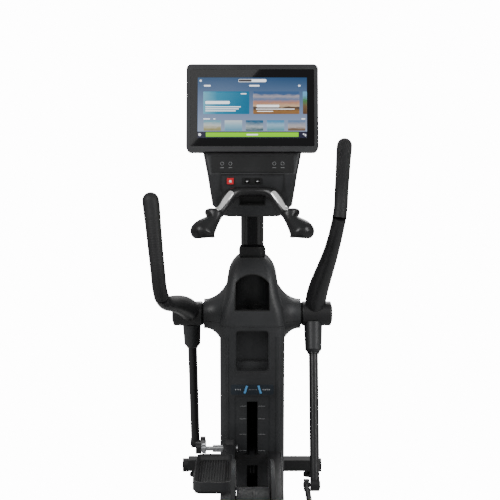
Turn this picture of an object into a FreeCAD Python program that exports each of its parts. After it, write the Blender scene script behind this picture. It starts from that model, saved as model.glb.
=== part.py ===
import FreeCAD, Part
import math
import os
import Sketcher
from FreeCAD import Placement, Rotation, Vector

# Elliptical trainer with a rear drive, an inclining ramp and swinging handlebars.
# Millimetres. +X is the user's right, +Y points away from the user, +Z is up, and
# the floor is z = 0. The user stands on the -Y side of the tower.

DIMENSIONS = {
    # overall layout
    "half_length": 1015, "shoulder_y": 700, "shoulder_z": 790,
    # base
    "rail_width": 80, "rail_bottom": 30, "rail_top": 80, "rail_wall": 4,
    "foot_span": 560, "foot_depth": 60, "pad_radius": 25, "wheel_radius": 30,
    # tower
    "tower_half": 130, "tower_rear": 545, "tower_front": 850, "cover_wall": 6,
    "cover_bottom": 84, "seam_z": 770, "shoulder_half": 197, "shoulder_radius": 61,
    "post_rear": 715, "post_front": 795, "post_half": 40, "post_top": 935,
    "shaft_radius": 15, "running_gap": 0.05,
    # openings in the tower
    "cup_half": 71, "cup_floor": 833, "cup_rise": 36, "cup_spring": 108, "tray_half": 68.5,
    "tray_bottom": 585, "tray_top": 757, "tray_depth": 66, "slot_half": 21.5,
    "slot_top": 461, "panel_half": 70, "panel_top": 485, "label_half": 86,
    "label_bottom": 491, "label_top": 533,
    # handlebars
    "swing_angle": 22, "hub_inner": 202, "hub_outer": 323, "hub_radius": 50,
    "lever_x": 249, "lever_length": 690, "lever_radius": 19, "rod_length": 454,
    # ramp
    "ramp_y": -60, "ramp_z": 110, "ramp_angle": 10, "ramp_length": 595,
    "track_height": 45, "roller_radius": 35, "roller_start": 40, "stride": 525,
    "arm_x": 90, "arm_width": 44, "arm_height": 60, "arm_length": 870,
    "arm_axle": 9, "pedal_width": 140, "pedal_length": 340,
    # drive
    "crank_z": 330, "disc_radius": 300, "disc_inner": 54, "disc_thick": 10,
    "pulley_radius": 190, "small_radius": 32, "middle_radius": 85,
    "generator_pulley": 28, "flywheel_radius": 95, "belt_thick": 4,
    "middle_y": -350, "middle_z": 275, "generator_y": -215, "generator_z": 215,
    "housing_half": 50, "housing_rear": 215, "housing_front": 122,
    # console
    "head_width": 516, "head_height": 348, "head_depth": 44, "head_y": 612,
    "head_z": 1634, "head_tilt": 16, "glass_width": 484, "glass_height": 306,
    "screen_width": 427, "screen_height": 240, "fascia_top": 1470,
    "mast_half": 46, "mast_depth": 60,
}

document = FreeCAD.newDocument("EllipticalTrainer")
sheet = document.addObject("Spreadsheet::Sheet", "Dims")
for row, (alias, value) in enumerate(DIMENSIONS.items(), start=1):
    sheet.set("A%d" % row, alias)
    sheet.set("B%d" % row, str(value))
    sheet.setAlias("B%d" % row, alias)
document.recompute()


def dim(alias):
    """A driving dimension, read back from the sheet."""
    return float(sheet.get(alias))


NODES = []
X_AXIS = Vector(1, 0, 0)
SIDES = {"left": -1, "right": 1}


def keep(obj, label):
    """Name a finished sub-part and put it on the list that is exported."""
    obj.Label = label
    NODES.append(obj)
    return obj


def bind(obj, sizes):
    """Bind properties to expressions; the sheet's aliases are written as they are."""
    for prop, text in sizes.items():
        if isinstance(text, (int, float)):
            setattr(obj, prop, text)
            continue
        words = text.split(" ")
        linked = ["Dims." + word if word in DIMENSIONS else word for word in words]
        obj.setExpression(prop, " ".join(linked))
    return obj


def box(size, corner):
    """A Part::Box of three bound sizes with its lowest corner at a place."""
    obj = document.addObject("Part::Box", "Block")
    bind(obj, {"Length": size[0], "Width": size[1], "Height": size[2]})
    obj.Placement = Placement(Vector(*corner), Rotation())
    return obj


def rod(radius, length, start, direction=X_AXIS):
    """A Part::Cylinder that starts at a place and runs along a direction."""
    obj = document.addObject("Part::Cylinder", "Rod")
    bind(obj, {"Radius": radius, "Height": length})
    turn = Rotation(Vector(0, 0, 1), Vector(*direction))
    obj.Placement = Placement(Vector(*start), turn)
    return obj


def joined(parts):
    obj = document.addObject("Part::MultiFuse", "Joined")
    obj.Shapes = parts
    return obj


def cut(base, tool):
    obj = document.addObject("Part::Cut", "Cut")
    obj.Base = base
    obj.Tool = tool
    return obj


def feature(shape, label=None):
    """A shape that primitives and bodies can't give, as a document object."""
    obj = document.addObject("Part::Feature", "Form")
    obj.Shape = shape
    if label:
        keep(obj, label)
    return obj


def turned(shape, degrees, centre):
    """A copy of a shape turned about a line along X through a centre."""
    copy = shape.copy()
    copy.rotate(Vector(*centre), X_AXIS, degrees)
    return copy


def rounded_wire(half, rear, front, radius, height):
    """A rounded rectangle in a level plane, always starting at the same corner."""
    corners = [(half, rear), (half, front), (-half, front), (-half, rear)]
    inward = [(-1, 1), (-1, -1), (1, -1), (1, 1)]
    edges = []
    ends = []
    for (x, y), (sx, sy) in zip(corners, inward):
        centre = Vector(x + sx * radius, y + sy * radius, height)
        side = Vector(-sx * radius, 0, 0)
        face = Vector(0, -sy * radius, 0)
        first, last = (face, side) if sx * sy < 0 else (side, face)
        middle = (side + face).normalize() * radius
        ends.append((centre + first, centre + middle, centre + last))
    for index, (first, middle, last) in enumerate(ends):
        edges.append(Part.Arc(first, middle, last).toShape())
        edges.append(Part.LineSegment(last, ends[(index + 1) % 4][0]).toShape())
    return Part.Wire(edges)


def column(sections, inset=0.0):
    """A smooth solid through level rounded sections (height, half, rear, front, radius)."""
    wires = []
    for height, half, rear, front, radius in sections:
        corner = max(radius - inset, 3)
        wires.append(rounded_wire(half - inset, rear + inset, front - inset, corner, height))
    return Part.makeLoft(wires, True, False)


def swept(points, radii, reference=X_AXIS):
    """A round bar through points, with its own radius at each of them.

    The rings line up on the reference, which the bar never runs along.
    """
    wires = []
    for index, (point, radius) in enumerate(zip(points, radii)):
        before = points[max(index - 1, 0)]
        after = points[min(index + 1, len(points) - 1)]
        along = (after - before).normalize()
        across = (reference - along * reference.dot(along)).normalize()
        ring = Part.Wire(Part.makeCircle(radius))
        ring.Placement = Placement(point, Rotation(across, along.cross(across), along, "ZXY"))
        wires.append(ring)
    return Part.makeLoft(wires, True, False)


def loop_face(centre_a, radius_a, centre_b, radius_b):
    """The face inside a belt line round two wheels, in the plane x = 0."""
    a = Vector(0, *centre_a)
    b = Vector(0, *centre_b)
    span = b - a
    heading = math.atan2(span.z, span.y)
    lean = math.acos((radius_a - radius_b) / span.Length)

    def on(centre, radius, angle):
        return centre + Vector(0, math.cos(angle), math.sin(angle)) * radius

    upper, lower = heading + lean, heading - lean
    far_a = Part.Arc(on(a, radius_a, upper), on(a, radius_a, heading + math.pi), on(a, radius_a, lower))
    far_b = Part.Arc(on(b, radius_b, lower), on(b, radius_b, heading), on(b, radius_b, upper))
    bottom = Part.LineSegment(on(a, radius_a, lower), on(b, radius_b, lower))
    top = Part.LineSegment(on(b, radius_b, upper), on(a, radius_a, upper))
    return Part.Face(Part.Wire([far_a.toShape(), bottom.toShape(), far_b.toShape(), top.toShape()]))


# ---------------------------------------------------------------- base frame
half_length = dim("half_length")
foot_depth = dim("foot_depth")
rail_bottom, rail_top = dim("rail_bottom"), dim("rail_top")
foot_half = dim("foot_span") / 2
FOOT_LINES = {"front": half_length - 40 - foot_depth, "rear": -half_length}
WHEEL_LINE = (half_length - dim("wheel_radius"), dim("wheel_radius") + 4)


def base_frame():
    rear_end = FOOT_LINES["rear"] + foot_depth
    length = "2 * half_length - 2 * foot_depth - 40"
    outer = box(["rail_width", length, "rail_top - rail_bottom"],
                (-dim("rail_width") / 2, rear_end, rail_bottom))
    wall = dim("rail_wall")
    inner = box(["rail_width - 2 * rail_wall", length, "rail_top - rail_bottom - 2 * rail_wall"],
                (-dim("rail_width") / 2 + wall, rear_end, rail_bottom + wall))
    tubes = [cut(outer, inner)]
    for start in FOOT_LINES.values():
        tube = box(["foot_span", "foot_depth", "rail_top - rail_bottom"], (-foot_half, start, rail_bottom))
        hollow = box(["foot_span - 2 * rail_wall", "foot_depth - 2 * rail_wall",
                      "rail_top - rail_bottom - 2 * rail_wall"],
                     (-foot_half + wall, start + wall, rail_bottom + wall))
        tubes.append(cut(tube, hollow))
    lugs = []
    for side in SIDES.values():
        lug = box([6, 20, 26], (side * 273 - 3, FOOT_LINES["front"] + foot_depth, 28))
        lugs.append(cut(lug, rod("6 + running_gap", 30, (side * 273 - 15, *WHEEL_LINE))))
    keep(joined(tubes + lugs), "base_frame")


def levelling_feet():
    """Four rubber-faced pads on threaded studs under the ends of the cross feet."""
    feet = []
    for start in FOOT_LINES.values():
        for side in SIDES.values():
            place = (side * (foot_half - 30), start + foot_depth / 2)
            pad = rod("pad_radius", 12, (*place, 0), (0, 0, 1))
            stud = rod(6, rail_bottom - 12, (*place, 12), (0, 0, 1))
            feet.append(joined([pad, stud]))
    keep(joined(feet), "levelling_feet")


def transport_wheels():
    """Two small wheels past the ends of the front cross foot, just clear of the floor."""
    wheels = []
    for side in SIDES.values():
        start = foot_half + 3 if side > 0 else -foot_half - 3 - 24
        wheels.append(rod("wheel_radius", 24, (start, *WHEEL_LINE)))
    axle = rod(6, "foot_span + 54", (-foot_half - 27, *WHEEL_LINE))
    keep(joined(wheels + [axle]), "transport_wheels")


def ramp_pivot():
    """The cross shaft at the ramp's low end, in a cradle that passes under the rail."""
    y, z = dim("ramp_y"), dim("ramp_z")
    bar = box([280, 30, 20], (-140, y - 15, rail_bottom - 20))
    posts = []
    for side in SIDES.values():
        posts.append(box([11, 30, z + 15 - rail_bottom + 20], (side * 134.5 - 5.5, y - 15, rail_bottom - 20)))
    keep(joined([bar] + posts + [rod(10, 280, (-140, y, z))]), "ramp_pivot_cradle")


# ---------------------------------------------------------------- tower
shoulder = Vector(0, dim("shoulder_y"), dim("shoulder_z"))
wall = dim("cover_wall")
tower_half = dim("tower_half")
tower_rear, tower_front = dim("tower_rear"), dim("tower_front")
seam = dim("seam_z")


def tower_sections():
    """Level sections from the foot of the tower to the collar round the mast."""
    low = [(height, tower_half, tower_rear, tower_front, 36)
           for height in (dim("cover_bottom"), 300, 560, seam)]
    high = [(815, 127, 548, 846, 42), (860, 117, 554, 836, 46), (905, 106, 564, 822, 46),
            (950, 99, 580, 806, 46), (990, 88, 602, 784, 42), (1018, 71, 622, 764, 34),
            (1034, 55, 634, 752, 28)]
    return low, high


def arch_solid(rear, front, inset=0.0):
    """The cup holder's tunnel: a flat floor and a low arched roof, running along Y."""
    half = dim("cup_half") - inset
    low = dim("cup_floor") + inset
    spring = dim("cup_floor") + dim("cup_spring")
    crown = spring + dim("cup_rise") - inset
    edges = [
        Part.LineSegment(Vector(-half, rear, spring), Vector(-half, rear, low)),
        Part.LineSegment(Vector(-half, rear, low), Vector(half, rear, low)),
        Part.LineSegment(Vector(half, rear, low), Vector(half, rear, spring)),
        Part.Arc(Vector(half, rear, spring), Vector(0, rear, crown), Vector(-half, rear, spring)),
    ]
    face = Part.Face(Part.Wire([edge.toShape() for edge in edges]))
    return face.extrude(Vector(0, front - rear, 0))


def pocket_solid(half, bottom, top, radius, rear, front):
    """A rounded rectangle standing in the X-Z plane and running along Y."""
    flat = Part.Face(rounded_wire(half, bottom, top, radius, 0))
    block = flat.extrude(Vector(0, 0, front - rear))
    block.rotate(Vector(), X_AXIS, 90)
    block.translate(Vector(0, front, 0))
    return block


def shoulder_flare(side, inset=0.0):
    """A trumpet from the tall side of the tower out to the round end of one shoulder."""
    radius = dim("shoulder_radius")
    rings = []
    for x, drop, tall, deep in ((96, 17, 152, 118), (118, 12, 117, 98), (138, 5, 88, 80),
                                (160, 1, 70, 67), (180, 0, radius + 1, radius + 1),
                                (dim("shoulder_half") - inset, 0, radius, radius)):
        oval = Part.Ellipse(Vector(), tall - inset, deep - inset) if tall > deep else Part.Circle(
            Vector(), Vector(0, 0, 1), tall - inset)
        ring = Part.Wire(oval.toShape())
        place = Vector(side * x, shoulder.y, shoulder.z - drop)
        ring.Placement = Placement(place, Rotation(Vector(0, 0, 1), Vector(0, 1, 0), X_AXIS, "ZXY"))
        rings.append(ring)
    return Part.makeLoft(rings, True, False)


def tower_covers():
    low, high = tower_sections()
    lower_block = Part.Face(rounded_wire(*[low[0][i] for i in (1, 2, 3, 4, 0)])).extrude(
        Vector(0, 0, seam - low[0][0]))
    upper_block = column([low[-1]] + high)
    outer = lower_block.fuse(upper_block)
    flares = [shoulder_flare(side) for side in SIDES.values()]
    skin = outer.fuse(flares)
    ribs = []
    for side in SIDES.values():
        ribs.append(Part.makeBox(7, 6, 560, Vector(side * 99 - 3.5, tower_rear - 3, 170)))
    skin = skin.fuse(ribs)
    inner_low = Part.Face(rounded_wire(tower_half - wall, tower_rear + wall, tower_front - wall, 30,
                                       low[0][0])).extrude(Vector(0, 0, seam - low[0][0]))
    top_wall = 3.5
    inner_high = column([low[-1]] + high, wall)
    mast_hole = Part.makeBox(2 * dim("mast_half") + 2, 118 - 2 * top_wall, 90,
                             Vector(-dim("mast_half") - 1, 634 + top_wall, 960))
    inner_flares = [shoulder_flare(side, wall) for side in SIDES.values()]
    bore = Part.makeCylinder(24, 440, Vector(-220, shoulder.y, shoulder.z), X_AXIS)
    shell = skin.cut([inner_low, inner_high, bore, mast_hole] + inner_flares)
    cup = arch_solid(tower_rear - 20, 680)
    tray = pocket_solid(dim("tray_half"), dim("tray_bottom"), dim("tray_top"), 14,
                        tower_rear - 20, tower_rear + 60)
    slot = Part.makeBox(2 * dim("slot_half"), 60, dim("slot_top") - dim("cover_bottom"),
                        Vector(-dim("slot_half"), tower_rear - 20, dim("cover_bottom")))
    panel = Part.makeBox(2 * dim("panel_half"), 23, dim("panel_top") - dim("cover_bottom"),
                         Vector(-dim("panel_half"), tower_rear - 20, dim("cover_bottom")))
    band = pocket_solid(dim("label_half"), dim("label_bottom"), dim("label_top"), 6,
                        tower_rear - 20, tower_rear + 1.5)
    shell = shell.cut([cup, tray, slot, panel, band])
    everything = Part.makeBox(900, 900, 1200, Vector(-450, 300, 0))
    above = everything.copy()
    above.translate(Vector(0, 0, seam + 0.5))
    below = Part.makeBox(900, 420, seam - 0.5, Vector(-450, 330, 0))
    ahead = Part.makeBox(900, 400, seam - 0.5, Vector(-450, 751, 0))
    feature(shell.common(above), "tower_upper_cover")
    feature(shell.common(below), "tower_lower_cover")
    feature(shell.common(ahead), "tower_front_cover")
    return outer


def tower_liners(outer):
    """The cup holder, the tray below it and the ramp level label, set into the cover."""
    gap = 0.3
    low = dim("cup_floor")
    middle = tower_rear + 46

    def round_ended(inset, start):
        straight = arch_solid(start, middle, inset)
        end = Part.makeCylinder(dim("cup_half") - inset, 160, Vector(0, middle, low + inset))
        return straight.fuse(end.common(arch_solid(start, middle + 90, inset)))

    bay = round_ended(4, tower_rear - 30)
    well = Part.makeCylinder(45, 20, Vector(0, middle + 16, low - 18))
    well_bay = Part.makeCylinder(42, 40, Vector(0, middle + 16, low - 15))
    liner = round_ended(gap, tower_rear - 20).common(outer).fuse(well).cut([bay, well_bay])
    feature(liner, "cup_holder_liner")
    back = tower_rear + dim("tray_depth")
    shell = pocket_solid(dim("tray_half") - gap, dim("tray_bottom") + gap, dim("tray_top") - gap, 14,
                         tower_rear + 0.5, back)
    bay = pocket_solid(dim("tray_half") - 4, dim("tray_bottom") + 4, dim("tray_top") - 4, 11,
                       tower_rear - 5, back - 4)
    ledge = Part.makeBox(2 * dim("tray_half") - 10, 26, 30, Vector(-dim("tray_half") + 5,
                         back - 29, dim("tray_bottom") + 4))
    feature(shell.cut(bay).fuse(ledge), "tray_liner")
    label = pocket_solid(dim("label_half") - gap, dim("label_bottom") + gap, dim("label_top") - gap, 6,
                         tower_rear - 0.5, tower_rear + 1.5)
    feature(label, "level_label")


def tower_post():
    """The steel column with the shoulder bearing tube and the plate the mast bolts to."""
    height = "post_top - rail_top"
    outer = box(["2 * post_half", "post_front - post_rear", height],
                (-dim("post_half"), dim("post_rear"), rail_top))
    tube = rod(45, "2 * shoulder_half - 20", (-dim("shoulder_half") + 10, shoulder.y, shoulder.z))
    inner = box(["2 * post_half - 10", "post_front - post_rear - 10", height],
                (-dim("post_half") + 5, dim("post_rear") + 5, rail_top))
    bore = rod("shaft_radius", "2 * shoulder_half + 20",
               (-dim("shoulder_half") - 10, shoulder.y, shoulder.z))
    keep(cut(joined([cut(outer, inner), tube]), bore), "tower_post")
    shaft = rod("shaft_radius", "2 * hub_outer - 12",
                (-dim("hub_outer") + 6, shoulder.y, shoulder.z))
    keep(shaft, "shoulder_shaft")


def mast():
    """The oval column that carries the console, leaning towards the user."""
    base = Vector(0, 734, dim("post_top"))
    top = Vector(0, 640, 1330)
    rings = []
    bores = []
    for centre, height in ((base, base.z), (top, top.z)):
        half = dim("mast_depth") / 2
        rings.append(rounded_wire(dim("mast_half"), centre.y - half, centre.y + half, 27, height))
        bores.append(rounded_wire(dim("mast_half") - 5, centre.y - half + 5, centre.y + half - 5, 22, height))
    feature(Part.makeLoft(rings, True, True).cut(Part.makeLoft(bores, True, True)), "mast")


# ---------------------------------------------------------------- lift for the ramp
SCREW_Y = 665


def ramp_lift():
    motor = joined([rod(36, 74, (0, SCREW_Y, 500), (0, 0, 1)),
                    box([60, 18, 20], (-30, 697, 520))])
    keep(motor, "lift_motor")
    keep(rod(9, 380, (0, SCREW_Y, 118), (0, 0, 1)), "lift_screw")
    block = box([46, 42, 40], (-23, SCREW_Y - 21, 210))
    cheeks = []
    for side in SIDES.values():
        cheeks.append(box([5, SCREW_Y - 21 - 528, 40], (side * 17.5 - 2.5, 528, 210)))
    thread = rod("9 + running_gap", 60, (0, SCREW_Y, 200), (0, 0, 1))
    keep(cut(joined([block] + cheeks), thread), "lift_nut")


# ---------------------------------------------------------------- ramp and foot arms
PIVOT = Vector(0, dim("ramp_y"), dim("ramp_z"))
INCLINE = math.radians(dim("ramp_angle"))


def on_ramp(along, above):
    """The Y and Z of a point along the ramp and above the line from its pivot."""
    y = PIVOT.y + along * math.cos(INCLINE) - above * math.sin(INCLINE)
    z = PIVOT.z + along * math.sin(INCLINE) + above * math.cos(INCLINE)
    return y, z


def ramp():
    """Two rails on a pivot tube, a front cross bar, the lift tongue and the two tracks."""
    y, z = PIVOT.y, PIVOT.z
    length = dim("ramp_length")
    parts = [Part.makeCylinder(16, 250, Vector(-125, y, z), X_AXIS)]
    for side in SIDES.values():
        parts.append(Part.makeBox(20, length - 10, 40, Vector(side * dim("arm_x") - 10, y + 10, z)))
        parts.append(Part.makeBox(50, length - 15, 5, Vector(side * dim("arm_x") - 25, y + 20, z + 40)))
        for edge in (-1, 1):
            x = side * dim("arm_x") + edge * 27
            parts.append(Part.makeBox(4, length - 15, 11, Vector(x - 2, y + 20, z + 40)))
    parts.append(Part.makeBox(240, 22, 36, Vector(-120, y + length - 24, z)))
    parts.append(Part.makeBox(220, 22, 30, Vector(-110, y + 250, z)))
    parts.append(Part.makeBox(24, 110, 30, Vector(-12, y + length - 5, z - 5)))
    body = parts[0].multiFuse(parts[1:]).removeSplitter()
    bore = Part.makeCylinder(10 + dim("running_gap"), 260, Vector(-130, y, z), X_AXIS)
    feature(turned(body.cut(bore), dim("ramp_angle"), (0, y, z)), "ramp_frame")


ROLLER_RISE = dim("track_height") + dim("roller_radius") + 0.3
ROLLERS = {"right": on_ramp(dim("roller_start"), ROLLER_RISE),
           "left": on_ramp(dim("roller_start") + dim("stride"), ROLLER_RISE)}


def arm_pitch(side):
    """The angle at which a foot arm rises towards its crank pin."""
    return math.asin((dim("crank_z") - ROLLERS[side][1]) / dim("arm_length"))


def pin_y(side):
    return ROLLERS[side][0] - dim("arm_length") * math.cos(arm_pitch(side))


CRANK_Y = (pin_y("left") + pin_y("right")) / 2
CRANK_RADIUS = (pin_y("left") - pin_y("right")) / 2


def foot_arm(side):
    """A hollow beam from the roller's axle back to the bearing on its crank pin."""
    sign = SIDES[side]
    y, z = ROLLERS[side]
    length, width, height = dim("arm_length"), dim("arm_width"), dim("arm_height")
    x = sign * dim("arm_x")
    beam = Part.makeBox(width, length - 50, height, Vector(x - width / 2, y - length + 0, z - height / 2))
    hollow = Part.makeBox(width - 8, length - 130, height - 8,
                          Vector(x - width / 2 + 4, y - length + 50, z - height / 2 + 4))
    hub = Part.makeCylinder(42, 50, Vector(sign * 91 - 25, y - length, z), X_AXIS)
    cheeks = []
    for offset in (-22, 22):
        start = Vector(x + offset - 2.5, y - 70, z - 16)
        cheeks.append(Part.makeBox(5, 70, 32, start))
        cheeks.append(Part.makeCylinder(16, 5, Vector(x + offset - 2.5, y, z), X_AXIS))
    bore = Part.makeCylinder(dim("arm_axle") + dim("running_gap"), 80, Vector(x - 40, y, z), X_AXIS)
    body = beam.cut(hollow).fuse([hub] + cheeks).cut(bore)
    pitch = -math.degrees(arm_pitch(side))
    feature(turned(body, pitch, (0, y, z)), "foot_arm_" + side)


def pedal(side):
    """The moulded pedal plate and the rubber pad that lies in it."""
    sign = SIDES[side]
    y, z = ROLLERS[side]
    centre = y - 0.52 * dim("arm_length")
    width, length = dim("pedal_width"), dim("pedal_length")
    inner = sign * (dim("arm_x") - dim("arm_width") / 2 + 2)
    low = min(inner, inner + sign * width)
    deck = z + dim("arm_height") / 2
    tray = Part.makeBox(width, length, 34, Vector(low, centre - length / 2, deck))
    uprights = [edge for edge in tray.Edges if abs(edge.tangentAt(0).z) > 0.9]
    tray = tray.makeFillet(32, uprights)
    bay = Part.makeBox(width - 12, length - 12, 30, Vector(low + 6, centre - length / 2 + 6, deck + 8))
    uprights = [edge for edge in bay.Edges if abs(edge.tangentAt(0).z) > 0.9]
    bay = bay.makeFillet(27, uprights)
    step = Part.makeBox(width + 2, length * 0.55, 30, Vector(low - 1, centre - length * 0.1, deck + 20))
    tray = tray.cut([bay, step.common(Part.makeBox(12, 500, 60, Vector(
        low - 2 if sign < 0 else low + width - 10, centre - 250, deck)))])
    pad = Part.makeBox(width - 12.6, length - 12.6, 9, Vector(low + 6.3, centre - length / 2 + 6.3, deck + 8.1))
    uprights = [edge for edge in pad.Edges if abs(edge.tangentAt(0).z) > 0.9]
    pad = pad.makeFillet(26.7, uprights)
    pitch = -math.degrees(arm_pitch(side))
    feature(turned(tray, pitch, (0, y, z)), "pedal_tray_" + side)
    feature(turned(pad, pitch, (0, y, z)), "pedal_pad_" + side)


def carriage(side):
    """The roller's axle, with collars, reaching out to the link rod."""
    sign = SIDES[side]
    y, z = ROLLERS[side]
    start, end = sorted((sign * 58, sign * 200))
    parts = [rod("arm_axle", end - start, (start, y, z)),
             rod(15, 6, (sign * 61 - 3, y, z)),
             rod(15, 40, (sign * 138 - 20, y, z)),
             rod(20, 16, (sign * 192 - 8, y, z))]
    keep(joined(parts), "roller_axle_" + side)


def roller(side):
    """A rubber-tyred roller on one track, as a revolved body."""
    sign = SIDES[side]
    y, z = ROLLERS[side]
    obj = revolved_body([(dim("arm_axle") + dim("running_gap"), -16), (dim("roller_radius") - 2, -16),
                         (dim("roller_radius"), -14), (dim("roller_radius"), 14),
                         (dim("roller_radius") - 2, 16), (dim("arm_axle") + dim("running_gap"), 16)],
                        {0: "arm_axle + running_gap", 3: "roller_radius"})
    place_wheel(obj, (sign * dim("arm_x"), y, z))
    keep(obj, "ramp_roller_" + side)


# ---------------------------------------------------------------- bodies made by revolving
def origin_part(body, role):
    for item in body.Origin.OriginFeatures:
        if item.Role == role:
            return item
    raise ValueError(role)


def revolved_body(profile, driven=()):
    """A PartDesign body turned about its own Z axis from (radius, height) corners.

    driven names the corners whose radius follows an expression of the sheet.
    """
    body = document.addObject("PartDesign::Body", "Turned")
    sketch = body.newObject("Sketcher::SketchObject", "Profile")
    sketch.AttachmentSupport = (origin_part(body, "XZ_Plane"), [""])
    sketch.MapMode = "FlatFace"
    corners = [Vector(radius, height, 0) for radius, height in profile]
    count = len(corners)
    for index in range(count):
        sketch.addGeometry(Part.LineSegment(corners[index], corners[(index + 1) % count]))
    for index in range(count):
        sketch.addConstraint(coincident(index, (index + 1) % count))
    for index, (radius, height) in enumerate(profile):
        name = sketch.addConstraint(distance("DistanceX", index, radius))
        sketch.addConstraint(distance("DistanceY", index, height))
        if index in driven:
            words = driven[index].split(" ")
            text = " ".join("Dims." + word if word in DIMENSIONS else word for word in words)
            sketch.setExpression("Constraints[%d]" % name, text)
    turn = body.newObject("PartDesign::Revolution", "Turn")
    turn.Profile = sketch
    turn.ReferenceAxis = (sketch, ["V_Axis"])
    turn.Angle = 360
    return body


def coincident(first, second):
    return Sketcher.Constraint("Coincident", first, 2, second, 1)


def distance(kind, index, value):
    return Sketcher.Constraint(kind, -1, 1, index, 1, value)


def place_wheel(obj, centre):
    """Stand a turned body's axis along X with its middle at a point."""
    obj.Placement = Placement(Vector(*centre), Rotation(Vector(0, 1, 0), 90))


# ---------------------------------------------------------------- rear drive
def crank():
    """The axle, two flat round cranks and the large pulley, which turn together."""
    reach = dim("disc_inner") + dim("disc_thick")
    keep(rod("shaft_radius", 2 * reach, (-reach, CRANK_Y, dim("crank_z"))), "crank_axle")
    discs = []
    for side in SIDES.values():
        start = dim("disc_inner") if side > 0 else -reach
        plate = rod("disc_radius", "disc_thick", (start, CRANK_Y, dim("crank_z")))
        hole = rod("shaft_radius", 40, (start - 10, CRANK_Y, dim("crank_z")))
        discs.append(cut(plate, hole))
    keep(joined(discs), "crank_discs")
    rim = dim("pulley_radius")
    pulley = revolved_body([(15, -10), (40, -10), (40, -3), (rim - 14, -3), (rim - 14, -10), (rim, -10),
                            (rim, 10), (rim - 14, 10), (rim - 14, 3), (40, 3), (40, 10), (15, 10)],
                           {0: "shaft_radius", 5: "pulley_radius", 6: "pulley_radius"})
    place_wheel(pulley, (-26, CRANK_Y, dim("crank_z")))
    keep(pulley, "crank_pulley")


def drive_wheels():
    small, middle = dim("small_radius"), dim("middle_radius")
    step_up = revolved_body([(0, -31), (8, -31), (8, -22), (small, -22), (small, -2), (14, -2), (14, 18), (middle, 18),
                             (middle, 36), (8, 36), (8, 59), (0, 59)],
                            {3: "small_radius", 4: "small_radius", 7: "middle_radius", 8: "middle_radius"})
    place_wheel(step_up, (-14, dim("middle_y"), dim("middle_z")))
    keep(step_up, "intermediate_pulley")
    rim, pulley = dim("flywheel_radius"), dim("generator_pulley")
    wheel = revolved_body([(0, -25), (8, -25), (8, -16), (rim, -16), (rim, 20), (pulley, 20),
                           (pulley, 42), (8, 42), (8, 65), (0, 65)],
                          {3: "flywheel_radius", 4: "flywheel_radius", 5: "generator_pulley"})
    place_wheel(wheel, (-20, dim("generator_y"), dim("generator_z")))
    keep(wheel, "generator_flywheel")


def belt(centre_a, radius_a, centre_b, radius_b, start, width):
    gap = 0.4
    thick = dim("belt_thick")
    outer = loop_face(centre_a, radius_a + gap + thick, centre_b, radius_b + gap + thick)
    inner = loop_face(centre_a, radius_a + gap, centre_b, radius_b + gap)
    band = outer.cut(inner).extrude(Vector(width, 0, 0))
    band.translate(Vector(start, 0, 0))
    return band


def drive():
    crank_centre = (CRANK_Y, dim("crank_z"))
    middle_centre = (dim("middle_y"), dim("middle_z"))
    generator_centre = (dim("generator_y"), dim("generator_z"))
    first = belt(crank_centre, dim("pulley_radius"), middle_centre, dim("small_radius"), -35, 17)
    second = belt(middle_centre, dim("middle_radius"), generator_centre, dim("generator_pulley"), 6, 14)
    feature(Part.makeCompound([first, second]), "drive_belts")
    outline = loop_face(crank_centre, dim("housing_rear") - 40, generator_centre,
                        dim("housing_front") - 25).extrude(Vector(5, 0, 0))
    plates = []
    for side in SIDES.values():
        start = 40.5 if side > 0 else -45.5
        plate = outline.copy()
        plate.translate(Vector(start, 0, 0))
        leg = Part.makeBox(5, 500, 80, Vector(start, CRANK_Y - 50, 60))
        plate = plate.fuse(leg).removeSplitter()
        holes = []
        for centre, radius in ((crank_centre, dim("shaft_radius")), (middle_centre, 8),
                               (generator_centre, 8)):
            holes.append(Part.makeCylinder(radius + dim("running_gap"), 20,
                                           Vector(start - 5, *centre), X_AXIS))
        plates.append(plate.cut(holes))
    feature(Part.makeCompound(plates), "drive_side_plates")
    reach = dim("housing_half")
    skin = 3
    outer = loop_face(crank_centre, dim("housing_rear"), generator_centre, dim("housing_front"))
    inner = loop_face(crank_centre, dim("housing_rear") - skin, generator_centre, dim("housing_front") - skin)
    shell = outer.extrude(Vector(reach, 0, 0)).cut(inner.extrude(Vector(reach - skin, 0, 0)))
    shell = shell.cut([Part.makeCylinder(19, 90, Vector(0, *crank_centre), X_AXIS),
                       Part.makeBox(46.5, 502, 82, Vector(-0.5, CRANK_Y - 51, 60))])
    seam_cut = Part.makeBox(0.4, 1200, 800, Vector(0, -1000, 0))
    right = shell.cut(seam_cut)
    feature(right, "rear_cover_right")
    feature(right.mirror(Vector(), X_AXIS), "rear_cover_left")


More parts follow.
